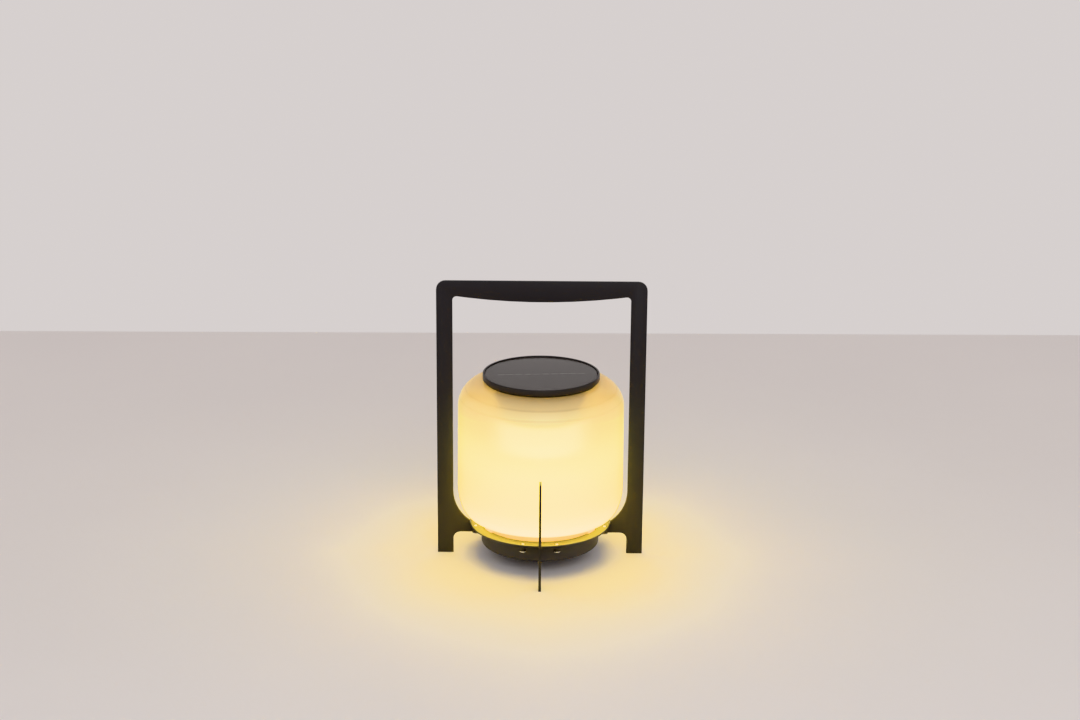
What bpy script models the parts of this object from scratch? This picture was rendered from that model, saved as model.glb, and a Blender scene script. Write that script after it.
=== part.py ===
"""Solar lantern: a black sheet-steel carrying frame, a lift-out opal lamp and a twist-off solar head.

+Z is up, the carrying arch stands in the XZ plane and -Y is the front. The origin is on the ground,
under the lamp's axis.
"""

import math

import bmesh
import bpy
from mathutils import Matrix, Vector

MM = 0.001
GAP = 0.3 * MM

# Carrying frame, laser-cut sheet
FRAME_WIDTH = 240 * MM
FRAME_HEIGHT = 330.6 * MM
SHEET = 3 * MM
LEG_WIDTH = 18.4 * MM
BAR_DEPTH = 24.5 * MM
BAR_BELLY_RADIUS = 730 * MM
OUTER_CORNER = 10.5 * MM
INNER_CORNER = 4.7 * MM
FIN_HEIGHT = 127 * MM
FIN_REACH = 116.5 * MM
BRACKET_RADIUS = 45 * MM
BRACKET_CENTRE_HEIGHT = 77.2 * MM
BRACKET_UNDERSIDE = 26 * MM
FOOT_FILLET = 8 * MM

# Tray: a drum with a flange on top
DRUM_RADIUS = 68.5 * MM
DRUM_BOTTOM = 16.4 * MM
DRUM_WALL = 1.6 * MM
FLANGE_RADIUS = 82 * MM
FLANGE_TOP = 41 * MM
FLANGE_THICKNESS = 2 * MM
FLANGE_BORE = 68.1 * MM
SEAT_HEIGHT = 39.6 * MM
NOTCH_RADIUS = 70.6 * MM
NOTCH_HALF_ANGLE = 8.4

# Bolts that hold each leg's cleat under the flange
BOLT_CIRCLE = 77.5 * MM
BOLT_ANGLE = 14.4
BOLT_RADIUS = 1.65 * MM
BOLT_HOLE = 2.0 * MM
BOLT_HEAD_RADIUS = 4.1 * MM
BOSS_RADIUS = 2.9 * MM
BOSS_BOTTOM = 33.4 * MM
CLEAT_THICKNESS = 1.8 * MM

# Opal shade and its keyed collar
SHADE_RADIUS = 95.6 * MM
SHADE_WALL = 2.2 * MM
SHADE_TOP = 212.6 * MM
SHADE_SHOULDER = 29 * MM
SHADE_BOTTOM_REACH = 17 * MM
SHADE_BOTTOM_RISE = 37 * MM
SHADE_BOTTOM = 51 * MM
NECK_TOP = 47.6 * MM
NECK_RADIUS = 65 * MM
NECK_FLOOR = 33 * MM
COLLAR_RADIUS = 67.5 * MM
COLLAR_SPIGOT_BOTTOM = 31 * MM
LUG_RADIUS = 70.1 * MM
LUG_HALF_ANGLE = 6
MOUTH_RADIUS = 52.2 * MM
MOUTH_NOTCH_RADIUS = 55.6 * MM

# Solar head
CAP_RADIUS = 67.3 * MM
CAP_BOTTOM = 215.4 * MM
CAP_TOP = 222.1 * MM
CAP_RIM = 2.4 * MM
CAP_LEDGE = 218.9 * MM
CAP_WIRE_HOLE = 22 * MM
PANEL_RADIUS = 64.5 * MM
CELL_COUNT = 10
CELL_PITCH = 10.3 * MM
CELL_CLOCKING = 5
CELL_FIELD_RADIUS = 61 * MM
BODY_RADIUS = 51.7 * MM
BODY_WALL = 2 * MM
BODY_BOTTOM = 172 * MM
BODY_TOP = 215.1 * MM
HEAD_SCREW_CIRCLE = 46.8 * MM
UNLOCK_ANGLE = 30
DIFFUSER_RADIUS = 48.5 * MM
DIFFUSER_BOTTOM = 134 * MM
BATTERY_RADIUS = 9.1 * MM
BATTERY_LENGTH = 65.2 * MM
BOARD_HEIGHT = 200 * MM
LED_COUNT = 6

# Charging port, its flap and the button, in the back of the cap
PORT_AZIMUTH = 90
FLAP_HALF_ANGLE = 5.9
BUTTON_AZIMUTH = 66

for old in list(bpy.data.objects):
    bpy.data.objects.remove(old, do_unlink=True)


def finish(name, colour, roughness, metallic=0.0):
    material = bpy.data.materials.new(name)
    material.use_nodes = True
    shader = material.node_tree.nodes["Principled BSDF"]
    shader.inputs["Base Color"].default_value = (*colour, 1)
    shader.inputs["Roughness"].default_value = roughness
    shader.inputs["Metallic"].default_value = metallic
    return material


BLACK_COAT = finish("black_powder_coat", (0.018, 0.017, 0.016), 0.5)
BRIGHT_ZINC = finish("bright_zinc", (0.72, 0.7, 0.66), 0.3, 1.0)
OPAL = finish("opal_plastic", (0.93, 0.88, 0.74), 0.45)
BLACK_ABS = finish("black_plastic", (0.022, 0.021, 0.022), 0.42)
RUBBER = finish("black_rubber", (0.02, 0.02, 0.02), 0.8)
CELL_BLUE = finish("solar_cell", (0.03, 0.032, 0.045), 0.3, 0.2)
PANEL_RESIN = finish("panel_resin", (0.12, 0.115, 0.11), 0.12)
GREEN_BOARD = finish("green_circuit_board", (0.02, 0.16, 0.06), 0.5)
WHITE_BOARD = finish("white_circuit_board", (0.8, 0.8, 0.78), 0.45)
LED_YELLOW = finish("led_phosphor", (0.95, 0.75, 0.25), 0.4)
CELL_WRAP = finish("battery_wrap", (0.1, 0.25, 0.5), 0.4)
TINNED = finish("tinned_steel", (0.65, 0.65, 0.66), 0.3, 1.0)
RED_WIRE = finish("red_wire", (0.55, 0.03, 0.02), 0.5)
BLACK_WIRE = finish("black_wire", (0.02, 0.02, 0.02), 0.5)


def empty(name, location=(0, 0, 0), parent=None):
    holder = bpy.data.objects.new(name, None)
    holder.location = location
    holder.parent = parent
    bpy.context.scene.collection.objects.link(holder)
    return holder


def place(name, mesh, material, parent, location=(0, 0, 0), turn=0.0):
    """A named sub-part, turned about Z and set down in its parent's frame."""
    if not mesh.materials:
        mesh.materials.append(material)
    part = bpy.data.objects.new(name, mesh)
    part.parent = parent
    part.location = location
    part.rotation_euler = (0, 0, math.radians(turn))
    bpy.context.scene.collection.objects.link(part)
    return part


def mesh_from(shape, sharp_degrees=30):
    bmesh.ops.remove_doubles(shape, verts=shape.verts, dist=1e-6)
    bmesh.ops.recalc_face_normals(shape, faces=shape.faces)
    mesh = bpy.data.meshes.new("solid")
    shape.to_mesh(mesh)
    shape.free()
    mesh.shade_smooth()
    mesh.set_sharp_from_angle(angle=math.radians(sharp_degrees))
    return mesh


def polar(radius, degrees, height=0.0):
    angle = math.radians(degrees)
    return Vector((radius * math.cos(angle), radius * math.sin(angle), height))


def arc(centre, radius, start, end, steps, rise=None):
    """Points of a round or, where rise is given, an elliptical corner, from start to end in degrees."""
    rise = radius if rise is None else rise
    angles = [math.radians(start + (end - start) * i / steps) for i in range(steps + 1)]
    return [(centre[0] + radius * math.cos(a), centre[1] + rise * math.sin(a)) for a in angles]


def turned(profile, sides, closed=False):
    """The solid swept by a profile of (radius, height) points about Z."""
    shape = bmesh.new()
    points = [shape.verts.new((radius, 0, height)) for radius, height in profile]
    edges = [shape.edges.new(pair) for pair in zip(points, points[1:])]
    if closed:
        edges.append(shape.edges.new((points[-1], points[0])))
    bmesh.ops.spin(
        shape, geom=points + edges, cent=(0, 0, 0), axis=(0, 0, 1),
        angle=math.tau, steps=sides, use_duplicate=False,
    )
    return mesh_from(shape)


def prism(outline, low, high):
    """The outline in XY, extruded from one height to another."""
    shape = bmesh.new()
    face = shape.faces.new([shape.verts.new((x, y, low)) for x, y in outline])
    raised = bmesh.ops.extrude_face_region(shape, geom=[face])["geom"]
    top = [item for item in raised if isinstance(item, bmesh.types.BMVert)]
    bmesh.ops.translate(shape, verts=top, vec=(0, 0, high - low))
    return mesh_from(shape)


def ring_block(inner, outer, low, high, half_angle, at=0.0, steps=4):
    """A piece of a flat ring, centred on the direction at."""
    outside = arc((0, 0), outer, at - half_angle, at + half_angle, steps)
    inside = arc((0, 0), inner, at + half_angle, at - half_angle, steps)
    return prism(outside + inside, low, high)


def rod(radius, low, high, at=(0, 0), sides=16):
    return moved(turned([(0, high), (radius, high), (radius, low), (0, low)], sides), (*at, 0))


def block(size, centre):
    half_x, half_y = size[0] / 2, size[1] / 2
    outline = [(-half_x, -half_y), (half_x, -half_y), (half_x, half_y), (-half_x, half_y)]
    return moved(prism(outline, -size[2] / 2, size[2] / 2), centre)


def moved(mesh, offset):
    mesh.transform(Matrix.Translation(offset))
    return mesh


def combined(base, others, operation):
    """The base mesh with the other closed meshes joined to it or cut from it."""
    helpers = [bpy.data.objects.new("helper", mesh) for mesh in [base, *others]]
    for helper in helpers:
        bpy.context.scene.collection.objects.link(helper)
    for other in helpers[1:]:
        change = helpers[0].modifiers.new(operation, "BOOLEAN")
        change.operation = operation
        change.object = other
    graph = bpy.context.evaluated_depsgraph_get()
    result = bpy.data.meshes.new_from_object(helpers[0].evaluated_get(graph))
    for helper in helpers:
        bpy.data.objects.remove(helper, do_unlink=True)
    result.shade_smooth()
    result.set_sharp_from_angle(angle=math.radians(30))
    return result


def cut(base, *others):
    return combined(base, others, "DIFFERENCE")


def joined(base, *others):
    return combined(base, others, "UNION")


# ---------------------------------------------------------------- carrying frame
frame = empty("frame")
HALF_WIDTH = FRAME_WIDTH / 2
LEG_INSIDE = HALF_WIDTH - LEG_WIDTH
BRACKET_CENTRE = (LEG_INSIDE - BRACKET_RADIUS, BRACKET_CENTRE_HEIGHT)
FLANGE_UNDERSIDE = FLANGE_TOP - FLANGE_THICKNESS
CLEAT_TOP = FLANGE_UNDERSIDE - GAP
CLEAT_BOTTOM = CLEAT_TOP - CLEAT_THICKNESS
WEB_TOP = CLEAT_BOTTOM - GAP


def foot_outline():
    """From the ground up the inside of a foot, in under the flange and back out to the leg."""
    flange_drop = math.degrees(math.asin((BRACKET_CENTRE_HEIGHT - FLANGE_TOP) / BRACKET_RADIUS))
    web_end = DRUM_RADIUS + GAP
    fillet_centre = (LEG_INSIDE - FOOT_FILLET, BRACKET_UNDERSIDE - FOOT_FILLET)
    bracket = arc(BRACKET_CENTRE, BRACKET_RADIUS, -flange_drop, 0, 7)
    flange_side = FLANGE_RADIUS + GAP
    web = [
        (web_end, BRACKET_UNDERSIDE), (web_end, WEB_TOP), (flange_side, WEB_TOP), (flange_side, FLANGE_TOP),
    ]
    return [(LEG_INSIDE, 0)] + arc(fillet_centre, FOOT_FILLET, 0, 90, 4) + web + bracket


def upright(outline):
    """A sheet cut to an outline of (x, z) points, standing in the XZ plane."""
    mesh = prism(outline, -SHEET / 2, SHEET / 2)
    mesh.transform(Matrix.Rotation(math.pi / 2, 4, "X"))
    return mesh


def arch_outline():
    belly = FRAME_HEIGHT - BAR_DEPTH
    corner_x = LEG_INSIDE - INNER_CORNER
    slope = math.degrees(math.asin(corner_x / BAR_BELLY_RADIUS))
    corner_z = belly + corner_x**2 / (2 * BAR_BELLY_RADIUS) - INNER_CORNER
    inside_corner = arc((corner_x, corner_z), INNER_CORNER, 0, 90 + slope, 4)
    underside = [
        (x, belly + x**2 / (2 * BAR_BELLY_RADIUS))
        for x in [corner_x * step / 8 for step in range(7, 0, -1)]
    ]
    outside_centre = (HALF_WIDTH - OUTER_CORNER, FRAME_HEIGHT - OUTER_CORNER)
    outside_corner = arc(outside_centre, OUTER_CORNER, 90, 0, 6)
    right = outside_corner + [(HALF_WIDTH, 0)] + foot_outline() + inside_corner + underside
    left = [(-x, z) for x, z in reversed(right)]
    return right + [(0, belly)] + left


def fin_outline():
    edge = 1 * MM
    top = [
        (LEG_INSIDE, FIN_HEIGHT - edge),
        (LEG_INSIDE + edge, FIN_HEIGHT),
        (FIN_REACH - edge, FIN_HEIGHT),
        (FIN_REACH, FIN_HEIGHT - edge),
    ]
    return foot_outline() + top + [(FIN_REACH, 0)]


place("arch_frame", upright(arch_outline()), BLACK_COAT, frame)
fin = upright(fin_outline())
place("front_leg", fin, BLACK_COAT, frame, turn=-90)
place("rear_leg", fin, BLACK_COAT, frame, turn=90)

# ---------------------------------------------------------------- tray and leg fastenings
drum_edge = 1.5 * MM
drum_floor = DRUM_BOTTOM + 2 * MM
tray_profile = [
    (0, DRUM_BOTTOM),
    (DRUM_RADIUS - drum_edge, DRUM_BOTTOM),
    (DRUM_RADIUS, DRUM_BOTTOM + drum_edge),
    (DRUM_RADIUS, FLANGE_UNDERSIDE),
    (FLANGE_RADIUS, FLANGE_UNDERSIDE),
    (FLANGE_RADIUS, FLANGE_TOP),
    (FLANGE_BORE, FLANGE_TOP),
    (FLANGE_BORE, SEAT_HEIGHT),
    (DRUM_RADIUS - DRUM_WALL, SEAT_HEIGHT),
    (DRUM_RADIUS - DRUM_WALL, drum_floor),
    (0, drum_floor),
]
LEG_DIRECTIONS = {"right": 0, "rear": 90, "left": 180, "front": 270}
KEY_DIRECTIONS = (90, 210, 330)
through = (FLANGE_UNDERSIDE - 0.5 * MM, FLANGE_TOP + 1 * MM)
notches = [
    ring_block(FLANGE_BORE - 0.1 * MM, NOTCH_RADIUS, *through, NOTCH_HALF_ANGLE, at)
    for at in KEY_DIRECTIONS
]
bolt_directions = [
    direction + side * BOLT_ANGLE for direction in LEG_DIRECTIONS.values() for side in (-1, 1)
]
flange_holes = [
    rod(BOLT_HOLE, *through, at=polar(BOLT_CIRCLE, at).xy, sides=12) for at in bolt_directions
]
place("tray", cut(turned(tray_profile, 60), *notches, *flange_holes), BLACK_COAT, frame)

boss_places = [polar(BOLT_CIRCLE, side * BOLT_ANGLE).xy for side in (-1, 1)]
cleat = ring_block(DRUM_RADIUS + 1.7 * MM, FLANGE_RADIUS - 0.4 * MM, CLEAT_BOTTOM, CLEAT_TOP, 21, steps=8)
bosses = [rod(BOSS_RADIUS, BOSS_BOTTOM, CLEAT_BOTTOM + 1 * MM, at, 12) for at in boss_places]
boss_holes = [rod(BOLT_HOLE, BOSS_BOTTOM - 1 * MM, CLEAT_TOP + 1 * MM, at, 12) for at in boss_places]
cleat = cut(joined(cleat, *bosses), *boss_holes)
for side, direction in LEG_DIRECTIONS.items():
    place(f"{side}_leg_cleat", cleat, BLACK_COAT, frame, turn=direction)

bolt_head_top = BOSS_BOTTOM - GAP
bolt_profile = [
    (0, FLANGE_TOP + 0.2 * MM),
    (BOLT_RADIUS - 0.4 * MM, FLANGE_TOP + 0.2 * MM),
    (BOLT_RADIUS, FLANGE_TOP - 0.2 * MM),
    (BOLT_RADIUS, bolt_head_top),
    (BOLT_HEAD_RADIUS, bolt_head_top),
    (BOLT_HEAD_RADIUS, bolt_head_top - 0.7 * MM),
    (BOLT_HEAD_RADIUS - 1 * MM, bolt_head_top - 1.5 * MM),
    (0, bolt_head_top - 1.5 * MM),
]
leg_bolt = turned(bolt_profile, 12)
for number, direction in enumerate(bolt_directions, 1):
    place(f"leg_bolt_{number}", leg_bolt, BRIGHT_ZINC, frame, polar(BOLT_CIRCLE, direction))

# ---------------------------------------------------------------- lamp: shade and collar
lamp = empty("lamp", parent=frame)


def shade_side(inset):
    """The shade's side from mouth to bottom, moved in by the wall thickness for the inner face."""
    shoulder = SHADE_SHOULDER - inset
    shoulder_centre = (SHADE_RADIUS - SHADE_SHOULDER, SHADE_TOP - SHADE_SHOULDER)
    bottom_centre = (SHADE_RADIUS - SHADE_BOTTOM_REACH, SHADE_BOTTOM + SHADE_BOTTOM_RISE)
    reach = SHADE_BOTTOM_REACH - inset
    rise = SHADE_BOTTOM_RISE - inset
    return (
        [(MOUTH_RADIUS, SHADE_TOP - inset)]
        + arc(shoulder_centre, shoulder, 90, 0, 6)
        + arc(bottom_centre, reach, 0, -90, 6, rise)
    )


outside = shade_side(0) + [(NECK_RADIUS, NECK_TOP), (NECK_RADIUS, NECK_FLOOR), (0, NECK_FLOOR)]
inside = shade_side(SHADE_WALL) + [
    (NECK_RADIUS - SHADE_WALL, NECK_TOP + SHADE_WALL),
    (NECK_RADIUS - SHADE_WALL, NECK_FLOOR + SHADE_WALL),
    (0, NECK_FLOOR + SHADE_WALL),
]
LOCK_DIRECTIONS = (30, 150, 270)
mouth_notches = [
    ring_block(
        MOUTH_RADIUS - 1 * MM, MOUTH_NOTCH_RADIUS, SHADE_TOP - SHADE_WALL - 1 * MM,
        SHADE_TOP + 1 * MM, 9, at + UNLOCK_ANGLE,
    )
    for at in LOCK_DIRECTIONS
]
place("shade", cut(turned(list(reversed(inside)) + outside, 48), *mouth_notches), OPAL, lamp)

collar_inside = NECK_RADIUS + GAP
collar_seat = SEAT_HEIGHT + GAP
spigot_radius = DRUM_RADIUS - DRUM_WALL - 0.5 * MM
collar_profile = [
    (COLLAR_RADIUS, NECK_TOP - 0.8 * MM),
    (COLLAR_RADIUS, collar_seat),
    (spigot_radius, collar_seat),
    (spigot_radius, COLLAR_SPIGOT_BOTTOM),
    (collar_inside, COLLAR_SPIGOT_BOTTOM),
    (collar_inside, NECK_TOP - 0.8 * MM),
]
lugs = [
    ring_block(COLLAR_RADIUS - 0.8 * MM, LUG_RADIUS, collar_seat, FLANGE_TOP + 0.6 * MM, LUG_HALF_ANGLE, at)
    for at in KEY_DIRECTIONS
]
place("shade_collar", joined(turned(collar_profile, 60, closed=True), *lugs), OPAL, lamp)

# ---------------------------------------------------------------- head: cap, panel and lock
head = empty("head_axis", parent=lamp)
cap_inside = CAP_RADIUS - CAP_RIM
cap_profile = [
    (CAP_RADIUS, CAP_TOP - 0.8 * MM),
    (CAP_RADIUS, CAP_BOTTOM),
    (CAP_WIRE_HOLE, CAP_BOTTOM),
    (CAP_WIRE_HOLE, CAP_LEDGE),
    (cap_inside, CAP_LEDGE),
    (cap_inside, CAP_TOP),
    (CAP_RADIUS - 0.6 * MM, CAP_TOP),
]
screw_places = [polar(HEAD_SCREW_CIRCLE, at).xy for at in (0, 120, 240)]
screw_holes = [rod(1.7 * MM, CAP_BOTTOM - 1 * MM, CAP_TOP, at, 10) for at in screw_places]
screw_sinks = [rod(3.2 * MM, CAP_LEDGE - 1.8 * MM, CAP_TOP, at, 12) for at in screw_places]
pocket_top = CAP_LEDGE - 0.2 * MM
port_pocket = block((9.8 * MM, 12 * MM, 4 * MM), (0, CAP_RADIUS - 3.5 * MM, pocket_top - 2 * MM))
flap_recess = ring_block(
    CAP_RADIUS - 1.4 * MM, CAP_RADIUS + 1 * MM, CAP_BOTTOM - 0.5 * MM,
    CAP_LEDGE + 2 * MM, FLAP_HALF_ANGLE + 0.3, PORT_AZIMUTH,
)
button_pocket = ring_block(
    CAP_RADIUS - 9.2 * MM, CAP_RADIUS + 1 * MM, CAP_BOTTOM - 0.5 * MM, pocket_top, 3.1, BUTTON_AZIMUTH
)
cap = cut(
    turned(cap_profile, 60, closed=True),
    *screw_holes, *screw_sinks, port_pocket, flap_recess, button_pocket,
)
place("cap_bezel", cap, BLACK_ABS, head)

backing_bottom = CAP_LEDGE + GAP
backing_top = backing_bottom + 0.6 * MM
cell_bottom = backing_top + GAP
cell_top = cell_bottom + 0.2 * MM
place("panel_backing", rod(PANEL_RADIUS, backing_bottom, backing_top, sides=60), BLACK_ABS, head)
place("panel_cover", rod(PANEL_RADIUS, cell_top + GAP, CAP_TOP - 0.9 * MM, sides=60), PANEL_RESIN, head)
cell_width = CELL_PITCH - 0.6 * MM
for number in range(CELL_COUNT):
    along = (number - (CELL_COUNT - 1) / 2) * CELL_PITCH
    widest = abs(along) + cell_width / 2
    length = 2 * math.sqrt(CELL_FIELD_RADIUS**2 - widest**2)
    strip = block((cell_width, length, cell_top - cell_bottom), (along, 0, (cell_bottom + cell_top) / 2))
    place(f"solar_cell_{number + 1}", strip, CELL_BLUE, head, turn=CELL_CLOCKING)

gasket_profile = [
    (65 * MM, CAP_BOTTOM - GAP), (65 * MM, SHADE_TOP + GAP),
    (56 * MM, SHADE_TOP + GAP), (56 * MM, CAP_BOTTOM - GAP),
]
place("cap_gasket", turned(gasket_profile, 48, closed=True), RUBBER, head)

# ---------------------------------------------------------------- head: body, battery and light
body_inside = BODY_RADIUS - BODY_WALL
body_floor = BODY_BOTTOM + BODY_WALL
body_profile = [
    (0, BODY_BOTTOM), (BODY_RADIUS, BODY_BOTTOM), (BODY_RADIUS, BODY_TOP),
    (body_inside, BODY_TOP), (body_inside, body_floor), (0, body_floor),
]
lock_top = SHADE_TOP - SHADE_WALL - 0.8 * MM
lock_lugs = [
    ring_block(body_inside + 0.5 * MM, 55 * MM, lock_top - 3 * MM, lock_top, 7, at)
    for at in LOCK_DIRECTIONS
]
posts = [rod(3.2 * MM, BODY_BOTTOM + 1 * MM, BODY_TOP, at, 12) for at in screw_places]
post_holes = [rod(1.7 * MM, BODY_TOP - 12 * MM, BODY_TOP + 1 * MM, at, 10) for at in screw_places]
wire_hole = rod(3 * MM, BODY_BOTTOM - 1 * MM, body_floor + 1 * MM, (0, -30 * MM), 12)
body = cut(joined(turned(body_profile, 48), *lock_lugs, *posts), *post_holes, wire_hole)
place("head_body", body, BLACK_ABS, head)

screw_seat = CAP_LEDGE - 1.8 * MM + GAP
screw_profile = [
    (0, screw_seat + 1.1 * MM), (2.4 * MM, screw_seat + 1.1 * MM), (2.8 * MM, screw_seat + 0.6 * MM),
    (2.8 * MM, screw_seat), (1.4 * MM, screw_seat), (1.4 * MM, BODY_TOP - 11 * MM), (0, BODY_TOP - 11 * MM),
]
head_screw = turned(screw_profile, 12)
for number, at in enumerate(screw_places, 1):
    place(f"head_screw_{number}", head_screw, TINNED, head, (*at, 0))

holder_bottom = body_floor + GAP
cell_axis = holder_bottom + 2 * MM + BATTERY_RADIUS + GAP
cradle = block((74 * MM, 23 * MM, 12 * MM), (0, 0, holder_bottom + 6 * MM))
hollow = rod(BATTERY_RADIUS + GAP, -BATTERY_LENGTH / 2 - 0.8 * MM, BATTERY_LENGTH / 2 + 0.8 * MM, sides=20)
hollow.transform(Matrix.Translation((0, 0, cell_axis)) @ Matrix.Rotation(math.pi / 2, 4, "Y"))
place("battery_holder", cut(cradle, hollow), BLACK_ABS, head)

battery_profile = [
    (0, BATTERY_LENGTH / 2), (3 * MM, BATTERY_LENGTH / 2), (3 * MM, BATTERY_LENGTH / 2 - 1.2 * MM),
    (BATTERY_RADIUS, BATTERY_LENGTH / 2 - 1.2 * MM), (BATTERY_RADIUS, -BATTERY_LENGTH / 2),
    (0, -BATTERY_LENGTH / 2),
]
battery = turned(battery_profile, 20)
battery.transform(Matrix.Rotation(math.pi / 2, 4, "Y"))
place("battery", battery, CELL_WRAP, head, (0, 0, cell_axis))

board_thickness = 1.6 * MM
board = block((62 * MM, 44 * MM, board_thickness), (0, 0, BOARD_HEIGHT + board_thickness / 2))
place("control_board", board, GREEN_BOARD, head)

led_board_top = BODY_BOTTOM - 0.8 * MM
led_board_bottom = led_board_top - board_thickness
place("led_board", rod(44 * MM, led_board_bottom, led_board_top, sides=40), WHITE_BOARD, head)
led_height = 1.2 * MM
led = block((5 * MM, 5 * MM, led_height), (0, 0, led_board_bottom - GAP - led_height / 2))
for number in range(LED_COUNT):
    turn = 360 / LED_COUNT * number
    place(f"led_{number + 1}", led, LED_YELLOW, head, polar(28 * MM, turn), turn)

diffuser_wall = 1.6 * MM
diffuser_corner = 5 * MM


def diffuser_side(inset):
    centre = (DIFFUSER_RADIUS - diffuser_corner, DIFFUSER_BOTTOM + diffuser_corner)
    return [(0, DIFFUSER_BOTTOM + inset)] + arc(centre, diffuser_corner - inset, -90, 0, 3) + [
        (DIFFUSER_RADIUS - inset, BODY_BOTTOM - GAP)
    ]


diffuser = turned(diffuser_side(0) + list(reversed(diffuser_side(diffuser_wall))), 40)
place("light_diffuser", diffuser, OPAL, head)

# ---------------------------------------------------------------- port, flap and button
port = empty("port", polar(CAP_RADIUS, PORT_AZIMUTH), head)
port.rotation_euler = (0, 0, math.radians(PORT_AZIMUTH - 90))
socket_size = Vector((8.9, 7.3, 3.1)) * MM
socket_centre = (0, -1.9 * MM - socket_size.y / 2, pocket_top - GAP - socket_size.z / 2)
shell = block(socket_size, socket_centre)
mouth = block(
    (socket_size.x - 0.8 * MM, socket_size.y, socket_size.z - 0.8 * MM),
    (0, socket_centre[1] + 1 * MM, socket_centre[2]),
)
place("charging_socket", cut(shell, mouth), TINNED, port)

flap_turn = PORT_AZIMUTH + FLAP_HALF_ANGLE
flap_axis = polar(CAP_RADIUS, flap_turn)
flap = ring_block(
    CAP_RADIUS - 1.1 * MM, CAP_RADIUS, CAP_BOTTOM + GAP, CAP_LEDGE + 1.7 * MM,
    FLAP_HALF_ANGLE, PORT_AZIMUTH,
)
place("port_flap", moved(flap, -flap_axis), RUBBER, head, flap_axis)

button_axis = polar(CAP_RADIUS, BUTTON_AZIMUTH)
button = ring_block(
    CAP_RADIUS - 3.2 * MM, CAP_RADIUS + 0.7 * MM, CAP_BOTTOM + 0.4 * MM, pocket_top - GAP, 2.7, BUTTON_AZIMUTH
)
place("power_button", moved(button, -button_axis), RUBBER, head, button_axis)
switch = ring_block(
    CAP_RADIUS - 8.6 * MM, CAP_RADIUS - 4.2 * MM, CAP_BOTTOM + GAP, pocket_top - GAP, 2.6, BUTTON_AZIMUTH
)
place("button_switch", switch, TINNED, head)

# ---------------------------------------------------------------- leads inside the head
board_top = BOARD_HEIGHT + board_thickness


def lead(name, material, route, steps=8):
    """An insulated lead on a smooth line through two ends and two pulling points."""
    start, out_of_start, into_end, end = [Vector(point) for point in route]
    curve = bpy.data.curves.new(name, "CURVE")
    curve.dimensions = "3D"
    curve.bevel_depth = 0.7 * MM
    curve.bevel_resolution = 1
    curve.use_fill_caps = True
    line = curve.splines.new("POLY")
    line.points.add(steps)
    for index, point in enumerate(line.points):
        t = index / steps
        s = 1 - t
        place_on = s**3 * start + 3 * s * s * t * out_of_start + 3 * s * t * t * into_end + t**3 * end
        point.co = (*place_on, 1)
    curve.materials.append(material)
    wire = bpy.data.objects.new(name, curve)
    wire.parent = head
    bpy.context.scene.collection.objects.link(wire)


for name, material, side in (("positive", RED_WIRE, 1), ("negative", BLACK_WIRE, -1)):
    panel_x = side * 3 * MM
    lead(f"panel_lead_{name}", material, [
        (panel_x, 6 * MM, backing_bottom - GAP),
        (panel_x, 6 * MM, backing_bottom - 8 * MM),
        (side * 10 * MM, 14 * MM, board_top + 8 * MM),
        (side * 10 * MM, 14 * MM, board_top + GAP),
    ])
    end_x = side * 35.5 * MM
    lead(f"battery_lead_{name}", material, [
        (end_x, 10 * MM, holder_bottom + 12 * MM + GAP),
        (end_x, 10 * MM, holder_bottom + 20 * MM),
        (side * 27 * MM, 16 * MM, BOARD_HEIGHT - 8 * MM),
        (side * 27 * MM, 16 * MM, BOARD_HEIGHT - GAP),
    ])
lead("led_lead", BLACK_WIRE, [
    (0, -18 * MM, BOARD_HEIGHT - GAP),
    (0, -18 * MM, BOARD_HEIGHT - 10 * MM),
    (0, -30 * MM, body_floor + 12 * MM),
    (0, -30 * MM, led_board_top + GAP),
])
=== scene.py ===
import math

import bpy
from mathutils import Matrix, Vector


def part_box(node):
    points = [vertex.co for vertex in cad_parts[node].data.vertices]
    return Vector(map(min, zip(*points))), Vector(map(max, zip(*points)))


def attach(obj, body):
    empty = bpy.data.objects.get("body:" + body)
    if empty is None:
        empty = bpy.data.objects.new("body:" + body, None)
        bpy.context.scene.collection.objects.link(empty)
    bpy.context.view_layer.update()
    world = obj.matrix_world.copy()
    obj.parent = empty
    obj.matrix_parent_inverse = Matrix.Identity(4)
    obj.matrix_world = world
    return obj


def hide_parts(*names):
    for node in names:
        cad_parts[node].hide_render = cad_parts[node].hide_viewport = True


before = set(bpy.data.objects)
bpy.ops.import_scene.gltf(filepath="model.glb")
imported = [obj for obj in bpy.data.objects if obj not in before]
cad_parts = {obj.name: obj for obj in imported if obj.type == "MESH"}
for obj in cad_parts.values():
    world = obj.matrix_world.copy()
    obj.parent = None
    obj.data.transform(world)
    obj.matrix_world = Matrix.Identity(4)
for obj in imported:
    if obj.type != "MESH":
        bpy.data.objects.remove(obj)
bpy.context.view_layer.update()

# Studio: a matt pale floor that ends at a paler, evenly lit wall, with a wide soft light overhead and one in
# front. The lantern stands in the middle and is seen from a little above, square to its arch.
scene = bpy.context.scene
scene.view_settings.view_transform = "Khronos PBR Neutral"


def select_only(piece):
    bpy.ops.object.select_all(action="DESELECT")
    piece.select_set(True)
    bpy.context.view_layer.objects.active = piece


def named(name):
    """The object that an operator has just added, under its own name and with no other selected."""
    made = bpy.context.object
    made.name = made.data.name = name
    select_only(made)
    return made


def finish(name, colour, roughness, **fixed):
    """A Principled finish. Names in fixed are the shader's sockets, with _ for a space."""
    material = bpy.data.materials.new(name)
    material.use_nodes = True
    shader = material.node_tree.nodes["Principled BSDF"]
    shader.inputs["Base Color"].default_value = (*colour, 1)
    shader.inputs["Roughness"].default_value = roughness
    for socket, value in fixed.items():
        shader.inputs[socket.replace("_", " ")].default_value = value
    return material


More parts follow.
